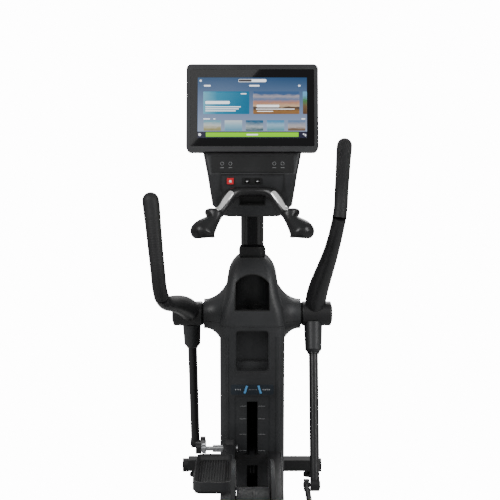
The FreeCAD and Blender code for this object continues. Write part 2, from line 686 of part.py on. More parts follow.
# ---------------------------------------------------------------- handlebars
def handle(side):
    """Hub, bent arm and rubber grip, turned to their place at rest about the shoulder."""
    sign = SIDES[side]

    def point(x, back, up):
        return Vector(sign * x, shoulder.y - back, shoulder.z + up)

    start = sign * dim("hub_inner") if sign > 0 else -dim("hub_outer")
    length = dim("hub_outer") - dim("hub_inner")
    hub = Part.makeCylinder(dim("hub_radius"), length, Vector(start, shoulder.y, shoulder.z), X_AXIS)
    hub = hub.makeFillet(7, [edge for edge in hub.Edges if edge.Closed])
    route = [point(258, 0, 0), point(262, 58, 66), point(286, 140, 140), point(309, 225, 203),
             point(324, 300, 258), point(337, 350, 318)]
    bar = swept(route, [38, 42, 37, 31, 28, 27])
    bore = Part.makeCylinder(dim("shaft_radius") + dim("running_gap"), length - 6,
                             Vector(start if sign > 0 else start + 6, shoulder.y, shoulder.z), X_AXIS)
    arm = hub.fuse(bar).cut(bore)
    grip_route = [route[-1], point(343, 355, 366), point(348, 338, 430), point(356, 300, 505),
                  point(364, 256, 580), point(370, 224, 630), point(373, 211, 652)]
    grip = swept(grip_route, [27.5, 27, 27, 28, 30, 31.5, 31])
    cap = Part.makeSphere(30.6, grip_route[-1])
    grip = grip.fuse(cap).cut(arm)
    rest = -sign * dim("swing_angle")
    feature(turned(arm, rest, shoulder), "handle_arm_" + side)
    feature(turned(grip, rest, shoulder), "handle_grip_" + side)


def lever(side):
    """Socket under the hub, steel tube, and the eye and pin at its lower end."""
    sign = SIDES[side]
    x = sign * dim("lever_x")
    rest = -sign * dim("swing_angle")
    top = Vector(x, shoulder.y, shoulder.z)
    socket = Part.makeCone(33, 38, 122, top + Vector(0, 0, -160))
    hub = Part.makeCylinder(dim("hub_radius") + 0.2, 200, top + Vector(-100, 0, 0), X_AXIS)
    seat = Part.makeCylinder(dim("lever_radius"), 100, top + Vector(0, 0, -170))
    chin = Part.makeCone(25, 36, 14, top + Vector(0, 0, -160)).fuse(
        Part.makeCylinder(60, 130, top + Vector(0, 0, -146)))
    socket = socket.common(chin).cut([hub, seat])
    long = dim("lever_length")
    tube = Part.makeCylinder(dim("lever_radius"), long - 78, top + Vector(0, 0, -long))
    eye = Part.makeCylinder(25, 36, Vector(x - 18, shoulder.y, shoulder.z - long), X_AXIS)
    pin_start = sign * 202 if sign > 0 else -dim("lever_x") + 10
    pin = Part.makeCylinder(9, 37, Vector(pin_start, shoulder.y, shoulder.z - long), X_AXIS)
    feature(turned(socket, rest, shoulder), "lever_socket_" + side)
    feature(turned(tube.fuse([eye, pin]), rest, shoulder), "lever_tube_" + side)
    swing = math.radians(rest)
    end_y = shoulder.y + long * math.sin(swing)
    end_z = shoulder.z - long * math.cos(swing)
    target_y, target_z = ROLLERS[side]
    heading = Vector(0, target_y - end_y, target_z - end_z).normalize()
    front = Vector(sign * 216, end_y, end_z)
    back = front + heading * dim("rod_length")
    parts = [Part.makeCylinder(24, 22, Vector(sign * 216 - 11, end.y, end.z), X_AXIS)
             for end in (front, back)]
    bar = Part.makeCylinder(11, dim("rod_length"), front, heading)
    hole = Part.makeCylinder(9 + dim("running_gap"), 60, front - Vector(30, 0, 0), X_AXIS)
    feature(bar.fuse(parts).cut(hole), "link_rod_" + side)


# ---------------------------------------------------------------- console
HEAD = Vector(0, dim("head_y"), dim("head_z"))
TILT = -dim("head_tilt")


def head_block(width, height, front, back, radius):
    """A rounded slab of the console head between two depths behind its front face."""
    block = pocket_solid(width / 2, -height / 2, height / 2, radius, front, back)
    block.translate(HEAD)
    return turned(block, TILT, HEAD)


def console_head():
    width, height, deep = dim("head_width"), dim("head_height"), dim("head_depth")
    glass_w, glass_h = dim("glass_width"), dim("glass_height")
    screen_w, screen_h = dim("screen_width"), dim("screen_height")
    bezel = head_block(width, height, 0, 15, 20).cut([head_block(glass_w, glass_h, -1, 4, 6),
                                                      head_block(glass_w - 16, glass_h - 16, 3, 16, 5)])
    feature(bezel, "console_bezel")
    feature(head_block(glass_w - 0.6, glass_h - 0.6, 0.8, 3.8, 6), "screen_glass")
    feature(head_block(screen_w, screen_h, 4.4, 12, 3), "display_panel")
    back = head_block(width - 2, height - 2, 15.3, deep, 19)
    back = back.cut(head_block(width - 10, height - 10, 14, deep - 4, 15))
    feature(back, "console_back_shell")


def fascia():
    """The control housing under the head: a tapering shell with its inset panel."""
    levels = [(1206, 112, 598, 690, 30), (1250, 158, 584, 702, 26), (1376, 177, 574, 706, 20),
              (dim("fascia_top"), 195.5, 592.4, 700, 18)]
    wires = [rounded_wire(half, rear, front, radius, height)
             for height, half, rear, front, radius in levels]
    steps = (4, 0, 0, -4)
    inner = [rounded_wire(half - 4, rear + 4, front - 4, radius - 4, height + step)
             for step, (height, half, rear, front, radius) in zip(steps, levels)]
    shell = Part.makeLoft(wires, True, True).cut(Part.makeLoft(inner, True, True))
    mast_way = Part.makeBox(2 * dim("mast_half") + 3, 74, 60, Vector(-dim("mast_half") - 1.5, 632, 1190))
    tray = Part.makeBox(104, 40, 44, Vector(-52, 560, 1252))
    keys = [Part.makeBox(26.6, 60, 24.6, Vector(-99.3, 560, 1337.7)),
            Part.makeBox(80, 60, 25, Vector(-40, 560, 1337.5))]
    stem_way = Part.makeBox(36.6, 80, 20.6, Vector(-18.3, 556, 1299.7))
    head_way = head_block(dim("head_width") + 1, dim("head_height") + 1, -0.5, dim("head_depth") + 0.5, 20.5)
    shell = shell.cut([mast_way, tray, stem_way, head_way] + keys)
    feature(shell, "fascia_shell")
    tray_shell = Part.makeBox(103, 34, 43, Vector(-51.5, 582, 1252.5)).cut(
        Part.makeBox(97, 34, 37, Vector(-48.5, 578, 1255.5)))
    feature(tray_shell, "phone_tray")
    plate = Part.makeBox(320, 3, 66, Vector(-160, -3.4, 0))
    plate.rotate(Vector(), X_AXIS, -11.04)
    plate.translate(Vector(0, 575.5, 1384))
    feature(plate, "fascia_panel")


def controls():
    keep(box([26, 22, 24], (-99, 569, 1338)), "stop_button")
    block = Part.makeBox(79, 20, 24, Vector(-39.5, 574, 1338))
    for centre in (-20, 20):
        block = block.cut(Part.makeBox(18, 14, 18, Vector(centre - 9, 573, 1341)))
    feature(block, "toggle_block")
    for side, centre in (("left", -20), ("right", 20)):
        key = Part.makeCylinder(8, 15, Vector(centre - 7.5, 578, 1350), X_AXIS)
        lever_bar = Part.makeBox(9, 16, 5, Vector(centre - 4.5, 561, 1347.5))
        feature(key.fuse(lever_bar), "toggle_" + side)


def largest(shape):
    """The biggest solid of a shape, without the slivers that a cut leaves beside it."""
    return max(shape.Solids, key=lambda solid: solid.Volume)


def fixed_handle():
    """The yoke under the console, its metal contact plates and the flared ends."""
    back = Vector(0, 1, 0)
    half_route = [(36, 552, 1311), (70, 545, 1307), (102, 518, 1273), (132, 489, 1238), (150, 470, 1214)]
    half_radii = [18.5, 21.5, 23, 24.5, 26]
    right = [Vector(*spot) for spot in half_route]
    left = [Vector(-spot.x, spot.y, spot.z) for spot in reversed(right)]
    route = left + [Vector(0, 553, 1311)] + right
    radii = half_radii[::-1] + [18] + half_radii
    yoke = swept(route, radii, back)
    stem = Part.makeBox(36, 56.3, 20, Vector(-18, 555.5, 1300))
    feature(yoke.fuse(stem), "fixed_handle")
    sleeve = swept(route, [radius + 0.9 for radius in radii], back).cut(yoke)
    plates = []
    ends = []
    for sign in SIDES.values():
        first, last = Vector(sign * 84, 518, 1308), Vector(sign * 150, 461, 1233)
        capsule = Part.makeCylinder(11, (last - first).Length, first, last - first).fuse(
            [Part.makeSphere(11, first), Part.makeSphere(11, last)])
        end_route = [Vector(sign * x, y, z) for x, y, z in (
            (141, 479.5, 1226), (151, 469, 1213), (168, 454, 1195), (183, 442, 1180), (190, 434, 1166),
            (191, 431, 1155), (191, 430, 1149))]
        bulb = swept(end_route, [24.5, 26.4, 36, 45, 49, 42, 22], back)
        ends.append(largest(bulb.cut(yoke)))
        plates.append(largest(sleeve.common(capsule).cut(bulb)))
    feature(Part.makeCompound(plates), "contact_plates")
    feature(Part.makeCompound(ends), "handle_ends")


def build():
    base_frame()
    levelling_feet()
    transport_wheels()
    ramp_pivot()
    outer = tower_covers()
    tower_liners(outer)
    tower_post()
    mast()
    ramp_lift()
    ramp()
    for side in SIDES:
        foot_arm(side)
        pedal(side)
        carriage(side)
        roller(side)
        handle(side)
        lever(side)
    crank()
    drive_wheels()
    drive()
    console_head()
    fascia()
    controls()
    fixed_handle()


def check():
    """Stop if any object failed to compute or any sub-part isn't a valid solid."""
    document.recompute()
    for obj in document.Objects:
        if "Invalid" in obj.State or "Error" in obj.State:
            raise RuntimeError("failed object " + obj.Label)
    for obj in NODES:
        shape = obj.Shape
        if shape.isNull() or not shape.isValid() or not shape.Solids:
            raise RuntimeError("bad shape " + obj.Label)


def export():
    os.makedirs("parts", exist_ok=True)
    for obj in NODES:
        obj.Shape.exportStep("parts/" + obj.Label + ".step")
        print(obj.Label, len(obj.Shape.Solids), round(obj.Shape.Volume / 1000, 1), "cm3")


build()
check()
export()
print("sub-parts", len(NODES))
print("crank", round(CRANK_Y, 2), round(CRANK_RADIUS, 2), "rollers", ROLLERS)
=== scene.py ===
# %% [markdown]
# # Elliptical trainer
# The machine's frame comes from its engineering model: every tube, cover and joint is
# already in place. This script gives each part its finish, adds the small pieces that
# make it read as a real gym machine, and sets up a studio round it.

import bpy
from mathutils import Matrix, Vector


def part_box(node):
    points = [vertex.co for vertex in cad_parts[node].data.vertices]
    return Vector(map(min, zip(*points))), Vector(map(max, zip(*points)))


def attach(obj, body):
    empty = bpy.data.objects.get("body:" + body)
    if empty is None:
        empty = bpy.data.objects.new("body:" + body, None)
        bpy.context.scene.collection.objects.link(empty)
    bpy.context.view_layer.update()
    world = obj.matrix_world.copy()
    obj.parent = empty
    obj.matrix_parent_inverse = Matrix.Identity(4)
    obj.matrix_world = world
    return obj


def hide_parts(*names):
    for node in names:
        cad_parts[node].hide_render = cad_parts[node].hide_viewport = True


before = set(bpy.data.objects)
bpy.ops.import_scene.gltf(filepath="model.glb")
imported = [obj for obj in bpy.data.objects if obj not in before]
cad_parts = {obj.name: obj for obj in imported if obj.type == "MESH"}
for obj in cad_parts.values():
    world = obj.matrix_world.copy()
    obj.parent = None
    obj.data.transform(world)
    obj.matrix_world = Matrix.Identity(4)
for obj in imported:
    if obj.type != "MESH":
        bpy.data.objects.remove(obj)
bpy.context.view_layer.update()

import math
import bpy
from mathutils import Matrix, Vector

# %% [markdown]
# ## Working by hand, in code
# Operators act on whatever is selected, so every step starts from an empty selection.
# A finished piece keeps its place in its mesh, and its object stays at the origin, which
# is what `settle` does after each piece is made.

# %% Helpers for selecting and settling
def clear():
    if bpy.context.object and bpy.context.object.mode != "OBJECT":
        bpy.ops.object.mode_set(mode="OBJECT")
    bpy.ops.object.select_all(action="DESELECT")


def active(obj):
    clear()
    obj.select_set(True)
    bpy.context.view_layer.objects.active = obj
    return obj


def settle(obj, name, material, body, matrix=None, smooth=35):
    """Name a piece, move it to its place, bake that into the mesh and let it ride."""
    obj.name = name
    obj.data.name = name
    if matrix is not None:
        obj.matrix_world = matrix @ obj.matrix_world
    active(obj)
    bpy.ops.object.transform_apply(location=True, rotation=True, scale=True)
    if smooth:
        bpy.ops.object.shade_smooth_by_angle(angle=math.radians(smooth))
    obj.data.materials.clear()
    obj.data.materials.append(material)
    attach(obj, body)
    clear()
    return obj


def edit_faces(obj, keep_face):
    """Enter edit mode with only the wanted faces selected."""
    active(obj)
    bpy.context.tool_settings.mesh_select_mode = (False, False, True)
    for vertex in obj.data.vertices:
        vertex.select = False
    for edge in obj.data.edges:
        edge.select = False
    for face in obj.data.polygons:
        face.select = bool(keep_face(face))
    bpy.ops.object.mode_set(mode="EDIT")


def bevelled(obj, width, segments=3, angle=40):
    active(obj)
    edge = obj.modifiers.new("edge", "BEVEL")
    edge.width = width
    edge.segments = segments
    edge.limit_method = "ANGLE"
    edge.angle_limit = math.radians(angle)
    bpy.ops.object.modifier_apply(modifier=edge.name)
    return obj


# %% [markdown]
# ## Finishes
# Moulded plastic is never one flat colour. A broad and faint noise shifts the tone and the
# gloss, and a fine one, as a bump, gives the spark-eroded grain that a mould leaves.
# The turned steel and the stainless stretch both along one direction, for brushing. The stainless is also
# partly a flat near-white, a painted highlight standing in for the bright studio it would mirror.

# %% A builder for procedural finishes
def finish(name, colour, rough, grain=900, depth=0.02, shift=0.25, rough_shift=0.12, metallic=0.0,
           coat=0.0, stretch=(1, 1, 1), kind="noise"):
    """A principled material whose colour, gloss and surface vary with the place on the part."""
    material = bpy.data.materials.new(name)
    material.use_nodes = True
    nodes, links = material.node_tree.nodes, material.node_tree.links
    shader = nodes["Principled BSDF"]
    shader.inputs["Metallic"].default_value = metallic
    shader.inputs["Coat Weight"].default_value = coat
    shader.inputs["Coat Roughness"].default_value = 0.12
    place = nodes.new("ShaderNodeTexCoord")
    mapping = nodes.new("ShaderNodeMapping")
    mapping.inputs["Scale"].default_value = stretch
    links.new(place.outputs["Object"], mapping.inputs["Vector"])
    broad = nodes.new("ShaderNodeTexNoise")
    broad.inputs["Scale"].default_value = 7
    broad.inputs["Detail"].default_value = 4
    links.new(mapping.outputs["Vector"], broad.inputs["Vector"])
    ramp = nodes.new("ShaderNodeValToRGB")
    low = [channel * (1 - shift) for channel in colour]
    high = [channel * (1 + shift) for channel in colour]
    ramp.color_ramp.elements[0].color = (*low, 1)
    ramp.color_ramp.elements[0].position = 0.3
    ramp.color_ramp.elements[1].color = (*high, 1)
    ramp.color_ramp.elements[1].position = 0.7
    links.new(broad.outputs["Fac"], ramp.inputs["Fac"])
    links.new(ramp.outputs["Color"], shader.inputs["Base Color"])
    if kind == "noise":
        fine = nodes.new("ShaderNodeTexNoise")
        fine.inputs["Detail"].default_value = 3
        height = fine.outputs["Fac"]
    else:
        fine = nodes.new("ShaderNodeTexVoronoi")
        height = fine.outputs["Distance"]
    fine.inputs["Scale"].default_value = grain
    links.new(mapping.outputs["Vector"], fine.inputs["Vector"])
    gloss = nodes.new("ShaderNodeMapRange")
    gloss.inputs["To Min"].default_value = max(rough - rough_shift, 0.02)
    gloss.inputs["To Max"].default_value = rough + rough_shift
    links.new(broad.outputs["Fac"], gloss.inputs["Value"])
    links.new(gloss.outputs["Result"], shader.inputs["Roughness"])
    bump = nodes.new("ShaderNodeBump")
    bump.inputs["Strength"].default_value = 0.35
    bump.inputs["Distance"].default_value = depth / 1000
    links.new(height, bump.inputs["Height"])
    links.new(bump.outputs["Normal"], shader.inputs["Normal"])
    return material


# %% The machine's own finishes
SHELL = finish("charcoal_shell", (0.030, 0.031, 0.033), 0.44, grain=850, depth=0.05)
# Dark charcoal for the darker mouldings; the same dark is also laid on as painted shade where the vent slots
# are.
DARK_SHELL_AND_VENT_SHADE = finish("charcoal_inset_and_vent_shade", (0.009, 0.0095, 0.010), 0.40, grain=850, depth=0.04)
GLOSS = finish("satin_black_moulding", (0.013, 0.013, 0.014), 0.34, grain=700, depth=0.02)
MAST_PAINT = finish("gloss_black_paint", (0.010, 0.010, 0.011), 0.22, grain=240, depth=0.03, coat=0.35)
POWDER = finish("black_powder_coat", (0.016, 0.016, 0.017), 0.36, grain=420, depth=0.08)
CASTING = finish("painted_casting", (0.016, 0.016, 0.017), 0.40, grain=500, depth=0.05)
RUBBER = finish("grip_rubber", (0.012, 0.012, 0.013), 0.58, grain=620, depth=0.22, kind="voronoi")
TREAD = finish("pedal_rubber", (0.020, 0.020, 0.021), 0.68, grain=400, depth=0.25, kind="voronoi")
STEEL = finish("turned_steel", (0.52, 0.53, 0.54), 0.28, grain=300, depth=0.02, shift=0.06, metallic=1.0,
               stretch=(1, 14, 1))
BLACK_OXIDE = finish("black_oxide_steel", (0.020, 0.020, 0.021), 0.38, grain=300, depth=0.03, metallic=0.6)
# Near-white and only half metallic: much of the contact plates' brightness is a painted highlight, standing
# in for the studio light that real stainless mirrors.
STAINLESS_WITH_PAINTED_HIGHLIGHT = finish("brushed_stainless_painted_highlight", (0.90, 0.90, 0.90), 0.26, grain=160, depth=0.015, shift=0.04,
                   rough_shift=0.06, metallic=0.45, stretch=(6, 1, 1))
ZINC = finish("zinc_screws", (0.42, 0.43, 0.45), 0.34, grain=900, depth=0.01, shift=0.1, metallic=1.0)
DISC = finish("painted_crank_disc", (0.022, 0.023, 0.024), 0.34, grain=360, depth=0.06, coat=0.2)
CAST_ALUMINIUM = finish("cast_aluminium", (0.42, 0.43, 0.44), 0.46, grain=350, depth=0.2, shift=0.1,
                        metallic=1.0)
RED = finish("red_key", (0.72, 0.022, 0.030), 0.36, grain=600, depth=0.02, shift=0.08)
MARK = finish("printed_grey_mark", (0.34, 0.35, 0.36), 0.5, shift=0.05)
WHITE_MARK = finish("printed_white_mark", (0.85, 0.86, 0.87), 0.45, shift=0.03)
BLUE_MARK = finish("printed_blue_mark", (0.10, 0.33, 0.62), 0.45, shift=0.06)
LABEL = finish("level_label_film", (0.022, 0.029, 0.038), 0.34, grain=500, depth=0.01)
GLASS_BLACK = finish("edged_cover_glass", (0.003, 0.003, 0.004), 0.03, grain=40, depth=0.0003, shift=0.1,
                     rough_shift=0.02)
GLASS_BLACK.node_tree.nodes["Principled BSDF"].inputs["Specular IOR Level"].default_value = 0.35
BELT = finish("belt_rubber", (0.014, 0.014, 0.014), 0.62, grain=260, depth=0.2)
print("finishes:", len([m for m in bpy.data.materials if m.use_nodes]))

# %% [markdown]
# ## A finish for every engineering part
# The parts keep their meshes. Which finish goes where follows what the part is made of:
# covers are textured mouldings, the mast is painted, the lever tubes are powder-coated and
# the rollers are rubber.

# %% Assign finishes by part
FINISH_OF = {
    BLACK_OXIDE: ["lift_screw", "lift_nut", "tower_post"],
    POWDER: ["base_frame", "ramp_frame", "ramp_pivot_cradle", "drive_side_plates",
             "foot_arm_left", "foot_arm_right", "link_rod_left", "link_rod_right",
             "lever_tube_left", "lever_tube_right"],
    MAST_PAINT: ["mast"],
    SHELL: ["tower_upper_cover", "tower_lower_cover", "tower_front_cover", "fascia_shell", "console_bezel",
            "console_back_shell", "rear_cover_left", "rear_cover_right", "tray_liner",
            "lever_socket_left", "lever_socket_right", "pedal_tray_left", "pedal_tray_right"],
    DARK_SHELL_AND_VENT_SHADE: ["cup_holder_liner", "phone_tray", "fascia_panel", "toggle_block"],
    GLOSS: ["fixed_handle", "handle_ends", "toggle_left", "toggle_right"],
    CASTING: ["handle_arm_left", "handle_arm_right"],
    RUBBER: ["handle_grip_left", "handle_grip_right", "levelling_feet", "transport_wheels"],
    TREAD: ["ramp_roller_left", "ramp_roller_right", "pedal_pad_left", "pedal_pad_right"],
    STEEL: ["shoulder_shaft", "crank_axle", "roller_axle_left", "roller_axle_right",
            "generator_flywheel"],
    STAINLESS_WITH_PAINTED_HIGHLIGHT: ["contact_plates"],
    CAST_ALUMINIUM: ["crank_pulley", "intermediate_pulley", "lift_motor"],
    DISC: ["crank_discs"],
    RED: ["stop_button"],
    LABEL: ["level_label"],
    GLASS_BLACK: ["screen_glass", "display_panel"],
    BELT: ["drive_belts"],
}
for material, names in FINISH_OF.items():
    for name in names:
        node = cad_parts[name]
        node.data.materials.clear()
        node.data.materials.append(material)
left_over = set(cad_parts) - {name for names in FINISH_OF.values() for name in names}
print("parts without a finish:", sorted(left_over))

# %% [markdown]
# ## The screen
# A screen picture is many flat tiles that glow. Each tile here is a thin plate, most with
# rounded corners, lying just in front of the glass, so it stays sharp from every
# angle. Sunset skies and hills are colour ramps bent by noise. There is no lettering:
# short bars stand for the lines of text.

# %% Place things on the tilted console head
HEAD_TILT = math.radians(16)
head_low = Vector(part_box("console_bezel")[0])
HEAD_HEIGHT, BEZEL_DEPTH = 0.348, 0.015
head_centre = Vector((0, head_low.y + math.sin(HEAD_TILT) * HEAD_HEIGHT / 2,
                      head_low.z + math.cos(HEAD_TILT) * HEAD_HEIGHT / 2 + math.sin(HEAD_TILT) * BEZEL_DEPTH))
ON_HEAD = Matrix.Translation(head_centre) @ Matrix.Rotation(-HEAD_TILT, 4, "X")
SCREEN_W, SCREEN_H = 0.427, 0.240
GLASS_FRONT = 0.0008
print("console head centre", [round(v, 4) for v in head_centre])


def lit(name, stops, axis="Z", span=0.12, centre=0.0, strength=1.0, wobble=0.0, scale=60.0):
    """A glowing picture: a colour ramp along one direction, bent by noise.

    The ramp runs on the object's own coordinates, from centre - span / 2 to centre + span / 2.
    """
    material = bpy.data.materials.new(name)
    material.use_nodes = True
    nodes, links = material.node_tree.nodes, material.node_tree.links
    shader = nodes["Principled BSDF"]
    shader.inputs["Roughness"].default_value = 0.12
    shader.inputs["Specular IOR Level"].default_value = 0.3
    shader.inputs["Emission Strength"].default_value = strength
    place = nodes.new("ShaderNodeTexCoord")
    split = nodes.new("ShaderNodeSeparateXYZ")
    links.new(place.outputs["Object"], split.inputs["Vector"])
    noise = nodes.new("ShaderNodeTexNoise")
    noise.inputs["Scale"].default_value = scale
    noise.inputs["Detail"].default_value = 5
    mapping = nodes.new("ShaderNodeMapping")
    mapping.inputs["Scale"].default_value = (1, 1, 3)
    links.new(place.outputs["Object"], mapping.inputs["Vector"])
    links.new(mapping.outputs["Vector"], noise.inputs["Vector"])
    along = nodes.new("ShaderNodeMapRange")
    along.inputs["From Min"].default_value = centre - span / 2
    along.inputs["From Max"].default_value = centre + span / 2
    links.new(split.outputs[axis], along.inputs["Value"])
    shake = nodes.new("ShaderNodeMath")
    shake.operation = "MULTIPLY_ADD"
    shake.inputs[1].default_value = wobble
    links.new(noise.outputs["Fac"], shake.inputs[0])
    links.new(along.outputs["Result"], shake.inputs[2])
    ramp = nodes.new("ShaderNodeValToRGB")
    ramp.color_ramp.elements.remove(ramp.color_ramp.elements[1])
    for index, (position, colour) in enumerate(stops):
        if index == 0:
            element = ramp.color_ramp.elements[0]
            element.position = position
        else:
            element = ramp.color_ramp.elements.new(position)
        element.color = (*colour, 1)
    links.new(shake.outputs["Value"], ramp.inputs["Fac"])
    shade = nodes.new("ShaderNodeHueSaturation")
    shade.inputs["Saturation"].default_value = 1.15
    shade.inputs["Value"].default_value = 0.85
    links.new(ramp.outputs["Color"], shade.inputs["Color"])
    links.new(shade.outputs["Color"], shader.inputs["Emission Color"])
    shader.inputs["Base Color"].default_value = (0.01, 0.01, 0.012, 1)
    return material


def height_on_head(v):
    """The world height of a place v metres above the middle of the head."""
    return head_centre.z + v * math.cos(HEAD_TILT)


# %% A tile and its corners
def tile(name, u, v, width, height, material, layer=1, radius=0.0):
    """A thin plate on the screen, u and v metres from its middle, its corners rounded by radius."""
    thick = 0.0001
    front = GLASS_FRONT - 0.00012 * layer
    clear()
    bpy.ops.mesh.primitive_cube_add(size=1, location=(u, front, v), scale=(width, thick, height))
    obj = bpy.context.object
    bpy.ops.object.transform_apply(location=False, rotation=False, scale=True)
    if radius:
        active(obj)
        bpy.context.tool_settings.mesh_select_mode = (False, True, False)
        for edge in obj.data.edges:
            a, b = (obj.data.vertices[i].co for i in edge.vertices)
            edge.select = abs(a.y - b.y) > thick / 2
        bpy.ops.object.mode_set(mode="EDIT")
        bpy.ops.mesh.bevel(offset=radius, segments=5, affect="EDGES")
        bpy.ops.object.mode_set(mode="OBJECT")
    return settle(obj, name, material, "frame", ON_HEAD, smooth=0)


# %% The screen's pictures
SKY = lit("screen_backdrop", [(0.0, (0.50, 0.58, 0.74)), (0.45, (0.26, 0.34, 0.52)),
                              (1.0, (0.045, 0.105, 0.22))], span=SCREEN_H, centre=height_on_head(0),
          wobble=0.05, scale=4)
CARD_BLUE = lit("class_card", [(0.0, (0.28, 0.62, 0.78)), (0.35, (0.07, 0.32, 0.50)),
                               (1.0, (0.035, 0.21, 0.37))], axis="X", span=0.18, centre=-0.10, wobble=0.1)
SUNSET = lit("sunset_card", [(0.0, (0.16, 0.075, 0.03)), (0.22, (0.40, 0.22, 0.10)),
                             (0.40, (0.06, 0.045, 0.04)), (0.47, (0.85, 0.62, 0.42)),
                             (0.62, (0.62, 0.33, 0.24)), (0.76, (0.20, 0.26, 0.42)),
                             (0.9, (0.50, 0.46, 0.50)), (1.0, (0.09, 0.16, 0.32))],
             span=0.088, centre=height_on_head(0.019), wobble=0.22, scale=45)
VALLEY = lit("valley_card", [(0.0, (0.10, 0.04, 0.02)), (0.5, (0.20, 0.13, 0.07)),
                             (0.75, (0.10, 0.25, 0.10)), (1.0, (0.25, 0.55, 0.85))],
             span=0.088, centre=height_on_head(0.019), wobble=0.3, scale=60)
THUMBS = [
    lit("thumb_field", [(0.0, (0.12, 0.12, 0.04)), (0.45, (0.45, 0.42, 0.22)), (0.7, (0.75, 0.78, 0.74)),
                        (1.0, (0.25, 0.50, 0.62))], span=0.05, centre=height_on_head(-0.073), wobble=0.3),
    lit("thumb_studio", [(0.0, (0.10, 0.30, 0.46)), (0.6, (0.42, 0.66, 0.80)), (1.0, (0.85, 0.92, 0.96))],
        span=0.05, centre=height_on_head(-0.073), wobble=0.1),
    lit("thumb_lake", [(0.0, (0.03, 0.05, 0.05)), (0.4, (0.10, 0.17, 0.20)), (0.6, (0.55, 0.62, 0.66)),
                       (1.0, (0.06, 0.17, 0.30))], span=0.05, centre=height_on_head(-0.073), wobble=0.35),
    lit("thumb_coast", [(0.0, (0.12, 0.14, 0.10)), (0.35, (0.20, 0.42, 0.52)), (0.7, (0.45, 0.66, 0.82)),
                        (1.0, (0.12, 0.34, 0.58))], span=0.05, centre=height_on_head(-0.073), wobble=0.25),
    lit("thumb_ridge", [(0.0, (0.10, 0.06, 0.04)), (0.45, (0.25, 0.17, 0.12)), (0.6, (0.60, 0.55, 0.55)),
                        (1.0, (0.20, 0.30, 0.48))], span=0.05, centre=height_on_head(-0.073), wobble=0.3),
]
BAR_DARK = lit("dock_bar", [(0.0, (0.014, 0.012, 0.03)), (1.0, (0.022, 0.022, 0.05))], wobble=0.3)
GREEN = lit("start_bar", [(0.0, (0.22, 0.66, 0.02)), (1.0, (0.34, 0.84, 0.04))], span=0.03,
            centre=height_on_head(-0.108), wobble=0.05, strength=1.35)
TEXT_WHITE = lit("text_bars", [(0.0, (0.80, 0.84, 0.88)), (1.0, (0.9, 0.93, 0.96))], wobble=0.5, strength=1.8)
PILL_DARK = lit("pill_dark", [(0.0, (0.05, 0.045, 0.045)), (1.0, (0.10, 0.09, 0.09))], wobble=0.5)

# %% Lay the tiles out
tile("screen_picture", 0, 0, SCREEN_W, SCREEN_H, SKY, 1)
tile("card_class", -0.1015, 0.019, 0.180, 0.089, CARD_BLUE, 2, 0.003)
tile("card_sunset", 0.0935, 0.019, 0.181, 0.089, SUNSET, 2, 0.003)
tile("card_valley", 0.2055, 0.019, 0.016, 0.089, VALLEY, 2, 0.002)
THUMB_PITCH = 0.0822
for index, picture in enumerate(THUMBS):
    tile("thumb_%d" % index, -0.156 + THUMB_PITCH * index, -0.0715, 0.068, 0.041, picture, 2, 0.002)
tile("dock", 0, -0.1075, SCREEN_W, 0.025, BAR_DARK, 3)
tile("start_button_bar", -0.0005, -0.1075, 0.361, 0.017, GREEN, 4, 0.001)
tile("mode_pill", 0.0, 0.107, 0.110, 0.0105, TEXT_WHITE, 2, 0.005)
tile("mode_pill_half", -0.028, 0.107, 0.052, 0.0085, PILL_DARK, 3, 0.004)
TEXT_BARS = [(-0.136, 0.020, 0.095, 0.011), (-0.114, 0.003, 0.138, 0.0035), (-0.118, -0.005, 0.130, 0.0035),
             (-0.124, -0.013, 0.118, 0.0035), (0.061, 0.006, 0.088, 0.009), (0.090, -0.006, 0.150, 0.003),
             (0.050, -0.015, 0.062, 0.003), (-0.176, 0.087, 0.026, 0.006), (0.008, 0.087, 0.040, 0.006),
             (0.184, 0.087, 0.009, 0.006), (-0.202, 0.107, 0.008, 0.007), (-0.034, 0.055, 0.022, 0.004),
             (-0.178, -0.045, 0.026, 0.004), (-0.148, -0.045, 0.008, 0.004), (0.199, -0.045, 0.014, 0.004)]
for index, (u, v, width, height) in enumerate(TEXT_BARS):
    tile("text_bar_%d" % index, u, v, width, height, TEXT_WHITE, 3, min(width, height) * 0.3)
tile("start_caption", 0, -0.1075, 0.044, 0.005, TEXT_WHITE, 5, 0.001)
tile("dock_home", -0.205, -0.1075, 0.010, 0.010, TEXT_WHITE, 4, 0.004)
tile("dock_next", 0.200, -0.1055, 0.005, 0.005, TEXT_WHITE, 4, 0.001)
tile("dock_menu", 0.207, -0.1095, 0.005, 0.008, TEXT_WHITE, 4, 0.001)
print("screen tiles in place")

# %% [markdown]
# ## Small pieces
# The engineering model stops at the parts that carry load or move. What makes the machine
# read as real are the bought pieces and the trim: screws, end caps, seals, a collar where
# the mast enters the tower, and printed marks. Each is built where it belongs and rides
# with its body.

# %% Builders for turned pieces, plates, hoops and screws
TURN_TO = {"X": (0, math.pi / 2, 0), "Y": (math.pi / 2, 0, 0), "Z": (0, 0, 0)}
SIGN_OF = {"right": 1, "left": -1}


def disc(name, place, radius, length, material, body, axis="X", matrix=None, edge=0.0012, sides=56):
    """A turned piece along an axis with broken edges."""
    clear()
    bpy.ops.mesh.primitive_cylinder_add(vertices=sides, radius=radius, depth=length, location=place,
                                        rotation=TURN_TO[axis])
    obj = bevelled(bpy.context.object, edge, 3)
    return settle(obj, name, material, body, matrix)


def slab(name, place, size, material, body, matrix=None, edge=0.0008):
    clear()
    bpy.ops.mesh.primitive_cube_add(size=1, location=place, scale=size)
    obj = bpy.context.object
    bpy.ops.object.transform_apply(location=False, rotation=False, scale=True)
    return settle(bevelled(obj, edge, 3), name, material, body, matrix)


def hoop(name, place, major, minor, material, body, axis="X", matrix=None):
    clear()
    bpy.ops.mesh.primitive_torus_add(major_segments=72, minor_segments=14, major_radius=major,
                                     minor_radius=minor, location=place, rotation=TURN_TO[axis])
    return settle(bpy.context.object, name, material, body, matrix)


